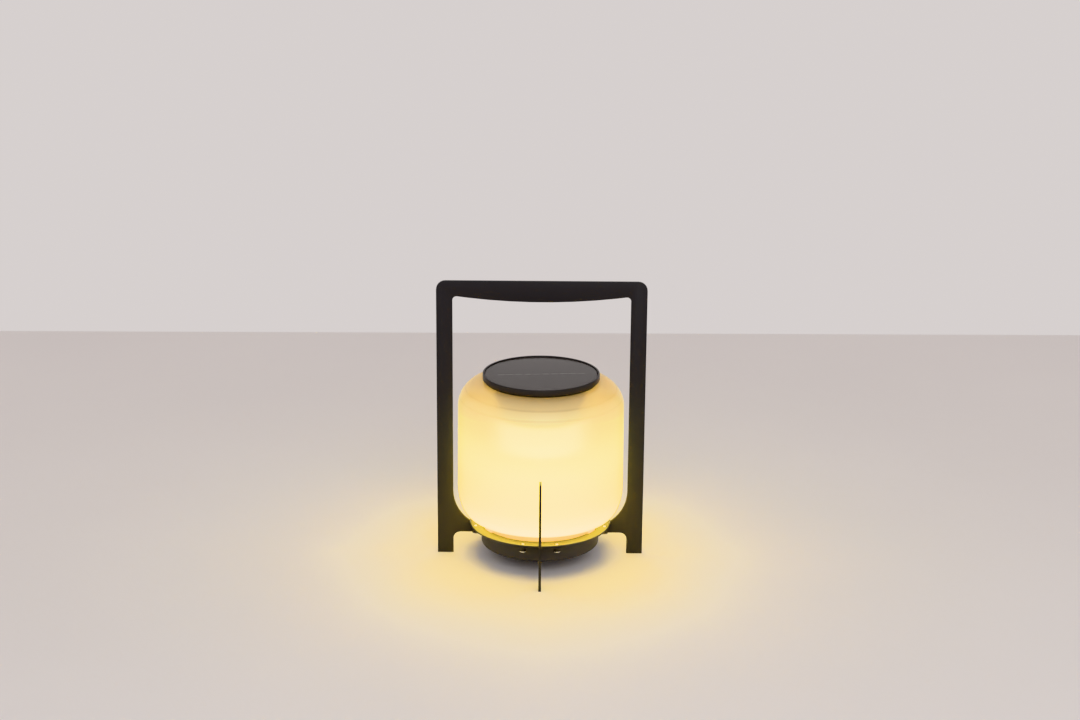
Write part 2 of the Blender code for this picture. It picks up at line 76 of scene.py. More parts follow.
def add(material, kind, *ordered, **sockets):
    """A shader node with its sockets linked, where a socket is given, or set."""
    made = material.node_tree.nodes.new("ShaderNode" + kind)
    wanted = list(enumerate(ordered)) + [(key.replace("_", " "), value) for key, value in sockets.items()]
    for key, value in wanted:
        if isinstance(value, bpy.types.NodeSocket):
            material.node_tree.links.new(value, made.inputs[key])
        else:
            made.inputs[key].default_value = value
    return made


def calc(material, operation, *values):
    made = add(material, "Math", *values)
    made.operation = operation
    return made.outputs[0]


def feed(material, socket, source):
    material.node_tree.links.new(source, material.node_tree.nodes["Principled BSDF"].inputs[socket])


def place_on(material):
    """The point on the object, in metres."""
    return add(material, "TexCoord").outputs["Object"]


def noise(material, size, detail):
    """Even noise whose blots are about that size, in metres."""
    return add(material, "TexNoise", Vector=place_on(material), Scale=1 / size, Detail=detail).outputs["Fac"]


def ramp(material, factor, *stops):
    """Colours from low to high factor, each stop as its position and its colour."""
    made = add(material, "ValToRGB", factor)
    while len(made.color_ramp.elements) < len(stops):
        made.color_ramp.elements.new(0.5)
    for element, (position, colour) in zip(made.color_ramp.elements, stops):
        element.position = position
        element.color = (*colour, 1)
    return made.outputs["Color"]


def raise_by(material, height, depth):
    """Bump of that depth in metres from a height of 0 to 1."""
    bump = add(material, "Bump", Strength=1.0, Distance=depth, Height=height)
    feed(material, "Normal", bump.outputs["Normal"])


def grained(material, grain, depth, tint, gloss=0.08, patch=0.03):
    """Gives a finish its fine grain, a slow drift of tone and a drift of gloss."""
    shader = material.node_tree.nodes["Principled BSDF"]
    colour = tuple(shader.inputs["Base Color"].default_value)[:3]
    roughness = shader.inputs["Roughness"].default_value
    drift = noise(material, patch, 4.0)
    fine = noise(material, grain, 3.0)
    dark = tuple(part * (1 - tint) for part in colour)
    light = tuple(min(1.0, part * (1 + tint)) for part in colour)
    feed(material, "Base Color", ramp(material, drift, (0.3, dark), (0.7, light)))
    worn = calc(material, "MULTIPLY_ADD", drift, 2 * gloss, roughness - gloss)
    feed(material, "Roughness", worn)
    raise_by(material, fine, depth)


floor_back = 0.91
floor_front = 6
floor_width = 12
floor_turn = math.radians(-0.73)
bpy.ops.mesh.primitive_plane_add(size=1)
floor = named("floor")
bpy.ops.object.mode_set(mode="EDIT")
bpy.ops.transform.resize(value=(floor_width, floor_front + floor_back, 1))
bpy.ops.transform.translate(value=(0, floor_back - (floor_front + floor_back) / 2, 0))
bpy.ops.transform.rotate(value=floor_turn, orient_axis="Z", center_override=(0, floor_back, 0))
bpy.ops.object.mode_set(mode="OBJECT")
floor_finish = finish("matt_floor", (0.79, 0.762, 0.747), 0.75)
grained(floor_finish, grain=0.004, depth=0.0001, tint=0.012, gloss=0.03, patch=0.4)
floor.data.materials.append(floor_finish)

world = bpy.data.worlds.new("even_wall")
world.use_nodes = True
world.node_tree.nodes["Background"].inputs["Color"].default_value = (0.715, 0.67, 0.66, 1)
scene.world = world

bpy.ops.object.light_add(type="AREA", location=(0.3, -1.2, 2.4))
overhead_light = named("overhead_softbox")
overhead_light.rotation_euler = (math.radians(-22), math.radians(6), 0)
overhead_light.data.shape = "DISK"
overhead_light.data.size = 1.8
overhead_light.data.energy = 2
overhead_light.data.color = (1, 0.97, 0.95)
bpy.ops.object.light_add(type="AREA", location=(0.2, -2.1, 1.5))
front_light = named("front_softbox")
front_light.rotation_euler = (math.radians(54), 0, 0)
front_light.data.shape = "DISK"
front_light.data.size = 1.6
front_light.data.energy = 13
front_light.data.color = (0.97, 0.97, 1)

looking_down = 17.22
camera_roll = math.radians(0.43)
camera_pitch = math.radians(90 - looking_down)
camera_turn = Matrix.Rotation(camera_pitch, 4, "X") @ Matrix.Rotation(camera_roll, 4, "Z")
bpy.ops.object.camera_add(location=(-0.0015, -2.3, 0.95), rotation=camera_turn.to_euler())
scene.camera = named("camera")
scene.camera.data.lens = 70.07
scene.camera.data.sensor_width = 36

# Carrying arch: one plate of 3 mm steel, laser cut with its two legs, grip bar and foot brackets in one
# piece, its edges broken and the whole powder coated black with a fine, slightly pebbled skin.
black_coat = finish("black_powder_coat", (0.0145, 0.0143, 0.0175), 0.5, Specular_IOR_Level=0.7)
grained(black_coat, grain=0.0007, depth=0.00005, tint=0.1, gloss=0.05, patch=0.02)
broken_edge = 0.00012
weld_distance = 2e-6


def smoothed(piece, degrees=30):
    """Back to object mode with the faces pointing out and shaded smooth up to that angle."""
    bpy.ops.object.mode_set(mode="EDIT")
    bpy.ops.mesh.select_all(action="SELECT")
    bpy.ops.mesh.remove_doubles(threshold=weld_distance)
    bpy.ops.mesh.normals_make_consistent(inside=False)
    bpy.ops.object.mode_set(mode="OBJECT")
    bpy.ops.object.shade_smooth_by_angle(angle=math.radians(degrees))
    return piece


def soften(piece, width, steps=3, sharp=30):
    """Rounds the edges that are sharper than that angle."""
    bpy.ops.object.mode_set(mode="EDIT")
    bpy.ops.mesh.select_mode(type="EDGE")
    bpy.ops.mesh.select_all(action="DESELECT")
    bpy.ops.mesh.edges_select_sharp(sharpness=math.radians(sharp))
    bpy.ops.mesh.bevel(offset=width, segments=steps, affect="EDGES", clamp_overlap=True)
    return smoothed(piece, 40)


def finer_copy(node, name, width, steps=3):
    """A CAD node's shape, welded, with its flat faces whole again and its edges rounded."""
    piece = bpy.data.objects.new(name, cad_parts[node].data.copy())
    piece.data.name = name
    piece.data.materials.clear()
    scene.collection.objects.link(piece)
    select_only(piece)
    bpy.ops.object.mode_set(mode="EDIT")
    bpy.ops.mesh.select_all(action="SELECT")
    bpy.ops.mesh.remove_doubles(threshold=weld_distance)
    bpy.ops.mesh.dissolve_limited(angle_limit=math.radians(1))
    return soften(piece, width, steps)


def fit(piece, body, material, node):
    """Gives a finished piece its material and its body, and hides the CAD node that it stands for."""
    piece.data.materials.clear()
    piece.data.materials.append(material)
    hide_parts(node)
    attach(piece, body)


fit(finer_copy("arch_frame", "arch_plate", broken_edge), "frame", black_coat, "arch_frame")

# Front and rear legs: two short upright plates of the same 3 mm steel and the same black coat, each with a
# foot and a bracket that runs in under the tray, standing square to the arch.
for side in ("front", "rear"):
    leg = finer_copy(f"{side}_leg", f"{side}_leg_plate", broken_edge)
    fit(leg, "frame", black_coat, f"{side}_leg")

# Tray: a spun and pierced steel dish, a drum with a closed floor and a flat flange turned out at its top.
# Three notches in the flange's bore key the lamp, and eight holes take the leg bolts. It is powder coated
# black like the plates, but its black is painted lighter and bluer than theirs, as painted light for the
# glow and fill light that the drum and flange catch.
tray_low, tray_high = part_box("tray")
flange_radius = tray_high.x
flange_top = tray_high.z
flange_thickness = 0.002
flange_edge = 0.0005
flange_reach = 0.0135
drum_radius = flange_radius - flange_reach
drum_bottom = tray_low.z
drum_floor = 0.002
drum_wall = 0.0016
flange_bore = drum_radius - 0.0004
seat_height = flange_top - 0.0014
notch_depth = 0.0025
notch_half_angle = 8.4
key_directions = (90, 210, 330)
bolt_circle = 0.0775
bolt_hole_radius = 0.002
bolt_spread = 14.4
leg_directions = (0, 90, 180, 270)
bolt_directions = [at + side for at in leg_directions for side in (-bolt_spread, bolt_spread)]


def eased(corners, steps=4):
    """The points (radius, height) of an outline given as corners (radius, height, rounding)."""
    points = []
    for index, (x, z, rounding) in enumerate(corners):
        here = Vector((x, z))
        if not rounding:
            points.append(here)
            continue
        before = (Vector(corners[index - 1][:2]) - here).normalized()
        after = (Vector(corners[(index + 1) % len(corners)][:2]) - here).normalized()
        half = before.angle(after) / 2
        centre = here + (before + after).normalized() * rounding / math.sin(half)
        spoke = here + before * rounding / math.tan(half) - centre
        end = here + after * rounding / math.tan(half) - centre
        sweep = math.copysign(math.pi - 2 * half, spoke.x * end.y - spoke.y * end.x)
        for step in range(steps + 1):
            turn = sweep * step / steps
            points.append(centre + Matrix.Rotation(turn, 2) @ spoke)
    return points


def pick(piece, kind, wanted):
    """Selects, in edit mode, the points or faces whose middle and normal pass the test."""
    bpy.ops.object.mode_set(mode="EDIT")
    bpy.ops.mesh.select_mode(type=kind)
    bpy.ops.mesh.select_all(action="DESELECT")
    bpy.ops.object.mode_set(mode="OBJECT")
    if kind == "VERT":
        chosen = [point for point in piece.data.vertices if wanted(point.co, point.normal)]
    else:
        chosen = [face for face in piece.data.polygons if wanted(face.center, face.normal)]
    for one in chosen:
        one.select = True
    bpy.ops.object.mode_set(mode="EDIT")


def spun(name, profile, steps=180, closed=False, angle=360.0, start=0.0):
    """A piece turned about Z. Its profile is drawn point by point, then spun."""
    bpy.ops.mesh.primitive_plane_add(size=0.001)
    piece = named(name)
    bpy.ops.object.mode_set(mode="EDIT")
    bpy.ops.mesh.select_mode(type="VERT")
    bpy.ops.mesh.select_all(action="SELECT")
    bpy.ops.mesh.merge(type="CENTER")
    turn = math.radians(start)
    drawn = [Vector((x * math.cos(turn), x * math.sin(turn), z)) for x, z in profile]
    bpy.ops.transform.translate(value=drawn[0])
    for here, after in zip(drawn, drawn[1:]):
        bpy.ops.mesh.extrude_vertices_move(TRANSFORM_OT_translate={"value": after - here})
    if closed and angle < 360:
        bpy.ops.mesh.select_all(action="SELECT")
        bpy.ops.mesh.edge_face_add()
    elif closed:
        ends = (drawn[0], drawn[-1])
        pick(piece, "VERT", lambda point, _: min((point - end).length for end in ends) < 1e-6)
        bpy.ops.mesh.edge_face_add()
    bpy.ops.mesh.select_all(action="SELECT")
    bpy.ops.mesh.spin(steps=steps, angle=-math.radians(angle), center=(0, 0, 0), axis=(0, 0, 1))
    return smoothed(piece)


def ring_sector(name, inner, outer, low, high, half_angle, at, rounding=0.0):
    """A piece of a flat ring, centred on the direction at, in degrees."""
    corners = [(inner, low), (outer, low), (outer, high), (inner, high)]
    piece = spun(name, corners, steps=12, closed=True, angle=2 * half_angle, start=at - half_angle)
    return soften(piece, rounding, 2, 50) if rounding else piece


def peg(name, radius, low, high, at, sides=24):
    """A plain round cutter, standing at a point in plan."""
    middle = (*at, (low + high) / 2)
    bpy.ops.mesh.primitive_cylinder_add(vertices=sides, radius=radius, depth=high - low, location=middle)
    piece = named(name)
    bpy.ops.object.transform_apply(location=True, rotation=True, scale=True)
    return piece


def combine(piece, operation, *others):
    """Joins other solids to a piece, or cuts them out of it, and removes them."""
    for other in others:
        change = piece.modifiers.new(operation, "BOOLEAN")
        change.operation = operation
        change.object = other
        select_only(piece)
        bpy.ops.object.modifier_apply(modifier=change.name)
        bpy.data.objects.remove(other, do_unlink=True)
    select_only(piece)
    smoothed(piece)


def around(radius, degrees):
    return radius * math.cos(math.radians(degrees)), radius * math.sin(math.radians(degrees))


dish = spun("tray_dish", eased([
    (0, drum_bottom, 0),
    (drum_radius, drum_bottom, 0.0015),
    (drum_radius, flange_top - flange_thickness, 0.0008),
    (flange_radius, flange_top - flange_thickness, flange_edge),
    (flange_radius, flange_top, flange_edge),
    (flange_bore, flange_top, 0.0003),
    (flange_bore, seat_height, 0.0002),
    (drum_radius - drum_wall, seat_height, 0.0003),
    (drum_radius - drum_wall, drum_bottom + drum_floor, 0.0012),
    (0, drum_bottom + drum_floor, 0),
]))
through = (flange_top - flange_thickness - 0.0005, flange_top + 0.001)
notch_cutters = [
    ring_sector("notch", flange_bore - 0.0001, flange_bore + notch_depth, *through, notch_half_angle, at)
    for at in key_directions
]
hole_cutters = [
    peg("hole", bolt_hole_radius, *through, around(bolt_circle, at))
    for at in bolt_directions
]
combine(dish, "DIFFERENCE", *notch_cutters, *hole_cutters)
# Painted light: a lighter, bluer copy of the plates' black coat, standing in for the light on drum and
# flange.
tray_coat_painted_light = finish("black_tray_coat_painted_light", (0.048, 0.05, 0.064), 0.5)
grained(tray_coat_painted_light, grain=0.0007, depth=0.00004, tint=0.1, gloss=0.05, patch=0.02)
fit(dish, "frame", tray_coat_painted_light, "tray")

# Leg cleats: four curved tabs of sheet under the flange, one on each leg's bracket, each with two round
# bosses that the leg bolts pass through. They are coated with the legs.
for side in ("right", "rear", "left", "front"):
    cleat = finer_copy(f"{side}_leg_cleat", f"{side}_cleat_tab", 0.0003, 2)
    fit(cleat, "frame", black_coat, f"{side}_leg_cleat")

# Leg bolts: eight zinc-plated socket screws, put in from below through boss and flange, so that their
# turned heads hang under the flange and their bright tips just show on top.
bolt_low, bolt_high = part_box("leg_bolt_1")
head_radius = (bolt_high.x - bolt_low.x) / 2
head_thickness = 0.0015
head_top = bolt_low.z + head_thickness
shank_radius = 0.00165
socket_radius = 0.0015
socket_depth = 0.001
bright_zinc = finish("bright_zinc", (0.8, 0.78, 0.73), 0.24, Metallic=1.0)
grained(bright_zinc, grain=0.0003, depth=0.00001, tint=0.06, gloss=0.08, patch=0.002)


def repeated(piece, name):
    """One more of a piece, with a mesh of its own."""
    placed = bpy.data.objects.new(name, piece.data.copy())
    placed.data.name = name
    scene.collection.objects.link(placed)
    return placed


bolt = spun("leg_screw_1", eased([
    (0, bolt_high.z, 0),
    (shank_radius, bolt_high.z, 0.0004),
    (shank_radius, head_top, 0.0002),
    (head_radius, head_top, 0.0002),
    (head_radius, bolt_low.z, 0.0011),
    (0, bolt_low.z, 0),
]), 48)
hex_socket = peg("socket", socket_radius, bolt_low.z - socket_depth, bolt_low.z + socket_depth, (0, 0), 6)
combine(bolt, "DIFFERENCE", hex_socket)
bolts = [bolt] + [repeated(bolt, f"leg_screw_{number}") for number in range(2, 9)]
for number, (placed, direction) in enumerate(zip(bolts, bolt_directions), 1):
    placed.data.transform(Matrix.Translation((*around(bolt_circle, direction), 0)))
    fit(placed, "frame", bright_zinc, f"leg_bolt_{number}")

# Shade: one blow-moulded shell of opal plastic with two fine mould rings round its shoulder, a drawn-in
# lower corner and a closed neck that stands in the tray. It glows all over, brightest low down, and shows
# the diffuser inside it a little. Its glow is painted dimmer under the cap as painted shade, with thin
# lines of painted shade at the mould rings. Three keyways in its mouth let the head's lugs in.
shade_low, shade_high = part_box("shade")
shade_radius = shade_high.x
shade_top = shade_high.z
shade_wall = 0.0022
shoulder = 0.029
mouth_radius = 0.0522
neck_radius = 0.065
neck_top = 0.0476
bottom_reach = 0.017
bottom_rise = 0.037
bottom_height = 0.051


def quarter(centre, reach, rise, start, steps):
    """A quarter of an ellipse, turning clockwise from start degrees."""
    angles = [math.radians(start - 90 * step / steps) for step in range(steps + 1)]
    return [(centre[0] + reach * math.cos(a), centre[1] + rise * math.sin(a)) for a in angles]


shoulder_x = shade_radius - shoulder
shoulder_z = shade_top - shoulder
mould_rings = (0.194, 0.204)
ring_depth = 0.0003
ring_half_width = 0.001
skin = [(mouth_radius, shade_top)]
for x, z in quarter((shoulder_x, shoulder_z), shoulder, shoulder, 90, 60):
    nearest = min(abs(z - ring) for ring in mould_rings)
    sunk = 1 - ring_depth / shoulder * max(0, 1 - nearest / ring_half_width)
    skin.append((shoulder_x + (x - shoulder_x) * sunk, shoulder_z + (z - shoulder_z) * sunk))
bottom_centre = (shade_radius - bottom_reach, bottom_height + bottom_rise)
skin += quarter(bottom_centre, bottom_reach, bottom_rise, 0, 24)
skin += eased([
    (neck_radius + 0.004, neck_top + 0.001, 0),
    (neck_radius, neck_top, 0),
    (neck_radius, shade_low.z, 0.001),
    (0, shade_low.z, 0),
])
shade = spun("opal_shell", skin, 200)
blown_wall = shade.modifiers.new("wall", "SOLIDIFY")
blown_wall.thickness = shade_wall
blown_wall.offset = -1
blown_wall.use_even_offset = True
bpy.ops.object.modifier_apply(modifier=blown_wall.name)
unlock_directions = (60, 180, 300)
keyway_depth = 0.0034
keyway_half_angle = 9
keyway_span = (shade_top - 0.004, shade_top + 0.001)
keyways = [
    ring_sector(
        "keyway", mouth_radius - 0.001, mouth_radius + keyway_depth, *keyway_span, keyway_half_angle, at
    )
    for at in unlock_directions
]
combine(shade, "DIFFERENCE", *keyways)

coat_tint = (0.7, 0.6, 0.45)
glow_strength = 12.0
opal = finish(
    "opal_shade", (0.9, 0.88, 0.66), 0.42, Transmission_Weight=0.5, IOR=1.2,
    Coat_Weight=1.0, Coat_Roughness=0.3, Coat_Tint=(*coat_tint, 1), Emission_Strength=glow_strength,
)
spot = add(opal, "SeparateXYZ", place_on(opal))
height = add(opal, "MapRange", Value=spot.outputs["Z"])
height.inputs["From Min"].default_value = shade_low.z
height.inputs["From Max"].default_value = shade_top
cloud_swing = 0.005
cloud = calc(opal, "MULTIPLY_ADD", noise(opal, 0.03, 3.0), cloud_swing, -cloud_swing / 2)
level = calc(opal, "ADD", height.outputs[0], cloud)
# Painted shade: the glow is dimmed towards the top, under the cap and housing, and in thin dark lines at the
# two mould rings.
glow_and_painted_shade_by_height = [
    (0.033, (6.6, 5.2, 1.0)),
    (0.056, (6.6, 5.1, 0.6)),
    (0.066, (5.0, 3.9, 0.16)),
    (0.08, (3.5, 2.85, 0.12)),
    (0.092, (2.9, 2.45, 0.2)),
    (0.11, (2.7, 2.4, 0.33)),
    (0.126, (2.5, 2.35, 0.5)),
    (0.139, (2.2, 2.1, 0.52)),
    (0.155, (1.7, 1.65, 0.47)),
    (0.168, (1.1, 1.08, 0.39)),
    (0.184, (0.72, 0.69, 0.32)),
    (0.1928, (0.58, 0.53, 0.27)),
    (0.194, (0.34, 0.3, 0.15)),
    (0.1952, (0.55, 0.5, 0.26)),
    (0.2028, (0.34, 0.29, 0.16)),
    (0.204, (0.18, 0.14, 0.07)),
    (0.2052, (0.29, 0.24, 0.13)),
    (0.2126, (0.15, 0.12, 0.07)),
]
glow = ramp(opal, level, *[
    (
        (z - shade_low.z) / (shade_top - shade_low.z),
        tuple(part / tint / glow_strength for part, tint in zip(colour, coat_tint)),
    )
    for z, colour in glow_and_painted_shade_by_height
])
feed(opal, "Emission Color", glow)


def show_through(material, share):
    """Lets that share of what lies behind a finish show straight through it."""
    nodes = material.node_tree.nodes
    clear = add(material, "BsdfTransparent")
    mixed = add(material, "MixShader", share, nodes["Principled BSDF"].outputs[0], clear.outputs[0])
    material.node_tree.links.new(mixed.outputs[0], nodes["Material Output"].inputs["Surface"])


show_through(opal, share=0.12)
raise_by(opal, noise(opal, 0.002, 2.0), 0.00002)
fit(shade, "lamp", opal, "shade")

# Collar: a moulded ring of the same plastic, pressed on the shade's neck, with a spigot that centres it in
# the drum and three lugs that drop through the flange's notches. Its glow is painted light that stands in
# for the lamp's light shining through it.
collar_radius = 0.0675
collar_seat = seat_height + 0.0003
collar_bore = neck_radius + 0.0003
collar_low, collar_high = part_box("shade_collar")
spigot_radius = drum_radius - drum_wall - 0.0005
collar = spun("keyed_collar", eased([
    (collar_radius, collar_high.z, 0.0005),
    (collar_radius, collar_seat, 0.0002),
    (spigot_radius, collar_seat, 0.0002),
    (spigot_radius, collar_low.z, 0.0004),
    (collar_bore, collar_low.z, 0.0002),
    (collar_bore, collar_high.z, 0.0002),
]), closed=True)
lug_root = collar_radius - 0.0008
lug_top = flange_top + 0.0006
lug_half_angle = 6
lugs = [
    ring_sector("lug", lug_root, collar_high.y, collar_seat, lug_top, lug_half_angle, at, rounding=0.0003)
    for at in key_directions
]
combine(collar, "UNION", *lugs)
# Painted light: the collar's own glow stands in for the lamp's light that passes through it.
collar_plastic_painted_glow = finish(
    "opal_collar", (0.62, 0.48, 0.27), 0.4, Emission_Color=(1, 0.6, 0.15, 1), Emission_Strength=0.55,
)
grained(collar_plastic_painted_glow, grain=0.001, depth=0.00002, tint=0.06)
fit(collar, "lamp", collar_plastic_painted_glow, "shade_collar")

# Head housing: a black moulded cup under the cap, with three lock lugs that turn under the shade's mouth.
# Three posts inside it take the screws that hold the cap down.
black_plastic = finish("black_moulded_plastic", (0.036, 0.034, 0.033), 0.38)
grained(black_plastic, grain=0.0005, depth=0.00003, tint=0.1)
housing = finer_copy("head_body", "head_housing", 0.0003, 2)
fit(housing, "head", black_plastic, "head_body")

# Battery, holder and boards: a shrink-wrapped round cell in a black cradle, the charging board over it and
# the round white light board below, with six square LEDs whose yellow phosphor faces down.
cradle = finer_copy("battery_holder", "battery_cradle", 0.0004, 2)
fit(cradle, "head", black_plastic, "battery_holder")
round_cell = finer_copy("battery", "round_cell", 0.0003, 2)
film_blue = (0.05, 0.2, 0.42)
film_end = 0.0305
bare_end = 0.031
wrap = finish("battery_wrap", film_blue, 0.3)
along_cell = add(wrap, "SeparateXYZ", place_on(wrap)).outputs["X"]
film = ramp(wrap, along_cell, (0.0, film_blue), (film_end, film_blue), (bare_end, (0.75, 0.74, 0.72)))
feed(wrap, "Base Color", film)
raise_by(wrap, noise(wrap, 0.004, 2.0), 0.00003)
fit(round_cell, "head", wrap, "battery")

charge_board = finer_copy("control_board", "charge_board", 0.0002, 1)
green_board = finish("green_circuit_board", (0.015, 0.12, 0.045), 0.35)
grained(green_board, grain=0.0008, depth=0.00003, tint=0.2, gloss=0.05, patch=0.004)
fit(charge_board, "head", green_board, "control_board")

light_board = finer_copy("led_board", "light_board", 0.0002, 2)
white_board = finish("white_circuit_board", (0.78, 0.78, 0.75), 0.4)
grained(white_board, grain=0.0008, depth=0.00001, tint=0.03)
fit(light_board, "head", white_board, "led_board")

phosphor = finish(
    "led_phosphor", (0.95, 0.72, 0.2), 0.4, Emission_Color=(1, 0.8, 0.4, 1), Emission_Strength=12.0,
)
grained(phosphor, grain=0.0006, depth=0.00002, tint=0.05)
for number in range(1, 7):
    chip = finer_copy(f"led_{number}", f"light_chip_{number}", 0.0003, 2)
    fit(chip, "head", phosphor, f"led_{number}")

# Diffuser: a frosted cup over the LEDs that spreads their light inside the shade, so that it shows through
# the opal as a paler band.
diffuser_low, diffuser_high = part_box("light_diffuser")
diffuser_wall = 0.0016
diffuser_radius = diffuser_high.x
cup = spun("diffuser_cup", eased([
    (0, diffuser_low.z, 0),
    (diffuser_radius, diffuser_low.z, 0.005),
    (diffuser_radius, diffuser_high.z, 0.0004),
    (diffuser_radius - diffuser_wall, diffuser_high.z, 0.0004),
    (diffuser_radius - diffuser_wall, diffuser_low.z + diffuser_wall, 0.0034),
    (0, diffuser_low.z + diffuser_wall, 0),
], 6), 120)
frosted = finish(
    "frosted_diffuser", (0.9, 0.86, 0.74), 0.5, Emission_Color=(1, 1, 0.42, 1), Emission_Strength=14.0,
)
grained(frosted, grain=0.0006, depth=0.00002, tint=0.03)
fit(cup, "head", frosted, "light_diffuser")

# Cap: a black moulded disc with a raised rim round the panel, a pocket at the back for the charging socket
# with a recess for its rubber flap, a slot for the power button and three sunk holes for the head screws.
cap_low, cap_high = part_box("cap_bezel")
cap_radius = cap_high.x
cap_rim = 0.0024
cap_ledge = cap_low.z + 0.0035
cap_inside = cap_radius - cap_rim
wire_hole = 0.022
port_direction = 90
button_direction = 66


def block(name, low, high):
    """A square-edged solid between two opposite corners, to cut or to add with."""
    bpy.ops.mesh.primitive_cube_add(size=1)
    piece = named(name)
    piece.data.transform(Matrix.Diagonal((*(Vector(high) - Vector(low)), 1)))
    piece.data.transform(Matrix.Translation((Vector(low) + Vector(high)) / 2))
    return piece


cap = spun("cap_rim", eased([
    (cap_radius, cap_high.z, 0.0009),
    (cap_radius, cap_low.z, 0.0005),
    (wire_hole, cap_low.z, 0.0004),
    (wire_hole, cap_ledge, 0.0004),
    (cap_inside, cap_ledge, 0.0002),
    (cap_inside, cap_high.z, 0.0005),
]), closed=True)
screw_circle = 0.0468
screw_places = [around(screw_circle, at) for at in (0, 120, 240)]
screw_hole_radius = 0.0017
screw_sink_radius = 0.0032
screw_sink_depth = 0.0018
below_cap = cap_low.z - 0.0005
outside_cap = cap_radius + 0.001
pocket_top = cap_ledge - 0.0002
pocket_half_width = 0.0049
pocket_height = 0.004
pocket_depth = 0.0095
port_pocket = block(
    "port_pocket",
    (-pocket_half_width, cap_radius - pocket_depth, pocket_top - pocket_height),
    (pocket_half_width, cap_radius + 0.0025, pocket_top),
)
flap_depth = 0.0014
flap_half_angle = 6.2
flap_recess = ring_sector(
    "flap_recess", cap_radius - flap_depth, outside_cap, below_cap, cap_ledge + 0.002,
    flap_half_angle, port_direction,
)
button_depth = 0.0092
button_half_angle = 3.1
button_pocket = ring_sector(
    "button_pocket", cap_radius - button_depth, outside_cap, below_cap, pocket_top,
    button_half_angle, button_direction,
)
screw_holes = [
    peg("screw_hole", screw_hole_radius, cap_low.z - 0.001, cap_high.z, at)
    for at in screw_places
]
screw_sinks = [
    peg("screw_sink", screw_sink_radius, cap_ledge - screw_sink_depth, cap_high.z, at, 32)
    for at in screw_places
]
combine(cap, "DIFFERENCE", port_pocket, flap_recess, button_pocket, *screw_holes, *screw_sinks)
fit(cap, "head", black_plastic, "cap_bezel")

# Head screws: three tinned cross-head screws that go down through the cap into the housing's posts, under
# the panel.
tinned = finish("tinned_steel", (0.66, 0.66, 0.67), 0.28, Metallic=1.0)
grained(tinned, grain=0.0003, depth=0.00001, tint=0.05, gloss=0.06, patch=0.003)
screw_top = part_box("head_screw_1")[1].z
recess_depth = 0.0008
recess_floor = screw_top - recess_depth
arm_reach = 0.0016
arm_half_width = 0.00035
for number, (x, y) in enumerate(screw_places, 1):
    screw = finer_copy(f"head_screw_{number}", f"cap_screw_{number}", 0.0001, 1)
    cross_recess = [
        block("cross", (x - a, y - b, recess_floor), (x + a, y + b, screw_top + 0.001))
        for a, b in ((arm_reach, arm_half_width), (arm_half_width, arm_reach))
    ]
    combine(screw, "DIFFERENCE", *cross_recess)
    fit(screw, "head", tinned, f"head_screw_{number}")

# Gasket: a flat black rubber ring between cap and shade. A groove moulded round its underside leaves two
# lips that seal against the shade's top.
gasket_low, gasket_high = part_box("cap_gasket")
gasket_radius = gasket_high.x
gasket_bore = 0.056
groove_top = gasket_low.z + 0.0006
rubber = finish("black_rubber", (0.022, 0.022, 0.022), 0.75)
grained(rubber, grain=0.0005, depth=0.00004, tint=0.1)
gasket = spun("cap_seal", eased([
    (gasket_radius, gasket_high.z, 0.0004),
    (gasket_radius, gasket_low.z, 0.0004),
    (gasket_radius - 0.004, gasket_low.z, 0.0004),
    (gasket_radius - 0.0045, groove_top, 0.0002),
    (gasket_radius - 0.0055, groove_top, 0.0002),
    (gasket_radius - 0.006, gasket_low.z, 0.0004),
    (gasket_bore, gasket_low.z, 0.0004),
    (gasket_bore, gasket_high.z, 0.0004),
], 3), 120, closed=True)
fit(gasket, "head", rubber, "cap_gasket")

# Solar panel: a black backing board, ten dark cell strips side by side on it, each crossed by one short
# tinned bus line and many hair-thin ones, and a glossy sheet of smoky resin that seals them in.
panel_low, panel_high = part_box("panel_cover")
panel_radius = panel_high.x
backing_low, backing_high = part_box("panel_backing")
backing = spun("panel_board", eased([
    (0, backing_high.z, 0),
    (panel_radius, backing_high.z, 0.0002),
    (panel_radius, backing_low.z, 0.0002),
    (0, backing_low.z, 0),
]))
fit(backing, "head", black_plastic, "panel_backing")

cell_pitch = 0.0103
cell_turn = 5
bus_half_width = 0.0011
seam_clearance = 0.0011
finger_pitch = 0.0015
finger_half_width = 0.00004
finger_strength = 0.02
cell = finish("solar_cell", (0.03, 0.029, 0.031), 0.35)
grained(cell, grain=0.0009, depth=0.000005, tint=0.05, gloss=0.03, patch=0.02)
turned_spot = add(cell, "Mapping", Vector=place_on(cell))
turned_spot.inputs["Rotation"].default_value[2] = math.radians(-cell_turn)
plan = add(cell, "SeparateXYZ", turned_spot.outputs[0])
from_seam = calc(cell, "PINGPONG", plan.outputs["X"], cell_pitch / 2)
clear_of_seam = calc(cell, "GREATER_THAN", from_seam, seam_clearance)
on_line = calc(cell, "LESS_THAN", calc(cell, "ABSOLUTE", plan.outputs["Y"]), bus_half_width)
bus_line = calc(cell, "MULTIPLY", on_line, clear_of_seam)
from_finger = calc(cell, "PINGPONG", plan.outputs["Y"], finger_pitch / 2)
finger = calc(cell, "LESS_THAN", from_finger, finger_half_width)
silver = calc(cell, "MAXIMUM", bus_line, calc(cell, "MULTIPLY", finger, finger_strength))
silicon = cell.node_tree.nodes["Principled BSDF"].inputs["Base Color"].links[0].from_socket
printed = add(cell, "Mix")
printed.data_type = "RGBA"
colour_mix = [socket for socket in printed.inputs if socket.enabled]
cell.node_tree.links.new(silver, colour_mix[0])
cell.node_tree.links.new(silicon, colour_mix[1])
colour_mix[2].default_value = (0.85, 0.84, 0.82, 1)
feed(cell, "Base Color", [socket for socket in printed.outputs if socket.enabled][0])
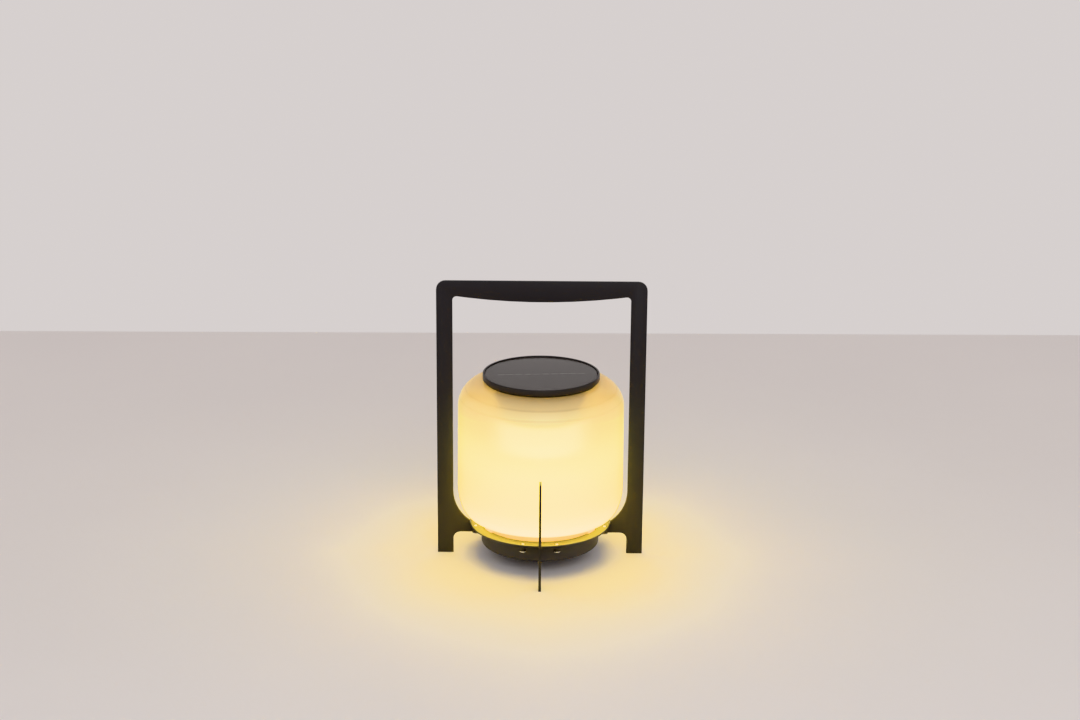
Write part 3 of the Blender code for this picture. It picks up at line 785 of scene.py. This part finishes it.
for number in range(1, 11):
    strip = finer_copy(f"solar_cell_{number}", f"cell_strip_{number}", 0.00005, 1)
    fit(strip, "head", cell, f"solar_cell_{number}")

cover = spun("panel_resin", eased([
    (0, panel_high.z, 0),
    (panel_radius, panel_high.z, 0.0004),
    (panel_radius, panel_low.z, 0.0002),
    (0, panel_low.z, 0),
]))
resin = finish("panel_resin", (0.135, 0.128, 0.122), 0.12, Specular_IOR_Level=1.0)
grained(resin, grain=0.003, depth=0.000004, tint=0.05, gloss=0.04, patch=0.02)
show_through(resin, share=0.52)
fit(cover, "head", resin, "panel_cover")

# Charging socket, flap, button and switch: a tinned steel inlet with a contact tongue, in the cap's pocket
# behind a rubber flap that swings on its edge and has a rib to lift it by. Beside them a rubber button with
# a dished face presses a small switch.
socket_low, socket_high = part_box("charging_socket")
inlet = finer_copy("charging_socket", "charge_inlet", 0.0001, 1)
socket_middle = (socket_low.z + socket_high.z) / 2
tongue_half_width = 0.0033
tongue_half_thickness = 0.0003
tongue = block(
    "tongue",
    (-tongue_half_width, socket_low.y + 0.0005, socket_middle - tongue_half_thickness),
    (tongue_half_width, socket_high.y - 0.0012, socket_middle + tongue_half_thickness),
)
combine(inlet, "UNION", tongue)
fit(inlet, "head", tinned, "charging_socket")

flap_low, flap_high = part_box("port_flap")
flap = finer_copy("port_flap", "inlet_flap", 0.0002, 2)
rib_direction = port_direction - 4.2
rib_half_angle = 0.5
rib_span = (flap_low.z + 0.001, flap_high.z - 0.001)
lift_rib = ring_sector(
    "lift_rib", cap_radius - 0.0004, cap_radius + 0.0005, *rib_span,
    rib_half_angle, rib_direction, rounding=0.0002,
)
combine(flap, "UNION", lift_rib)
fit(flap, "flap", rubber, "port_flap")

button = finer_copy("power_button", "press_button", 0.0003, 3)
outward = Vector((*around(1, button_direction), 0))
button_lip = 0.0004
dish_depth = 0.00025
pick(button, "FACE", lambda _, normal: normal.dot(outward) > 0.99)
bpy.ops.mesh.inset(thickness=button_lip)
bpy.ops.transform.translate(value=-dish_depth * outward)
smoothed(button, 40)
fit(button, "button", rubber, "power_button")
switch = finer_copy("button_switch", "press_switch", 0.0002, 1)
fit(switch, "head", tinned, "button_switch")

# Leads: stranded wire in red and black sleeves, two from the panel, two from the battery and one down to
# the light board, soldered at both ends.
wire_finishes = {
    "red_wire": finish("red_sleeve", (0.5, 0.03, 0.02), 0.4),
    "black_wire": finish("black_sleeve", (0.02, 0.02, 0.02), 0.42),
}
for sleeve in wire_finishes.values():
    grained(sleeve, grain=0.0006, depth=0.00002, tint=0.08)
leads = {
    "panel_lead_positive": "red_wire",
    "panel_lead_negative": "black_wire",
    "battery_lead_positive": "red_wire",
    "battery_lead_negative": "black_wire",
    "led_lead": "black_wire",
}
for node, slot in leads.items():
    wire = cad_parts[node]
    wire.data.materials.clear()
    wire.data.materials.append(wire_finishes[slot])
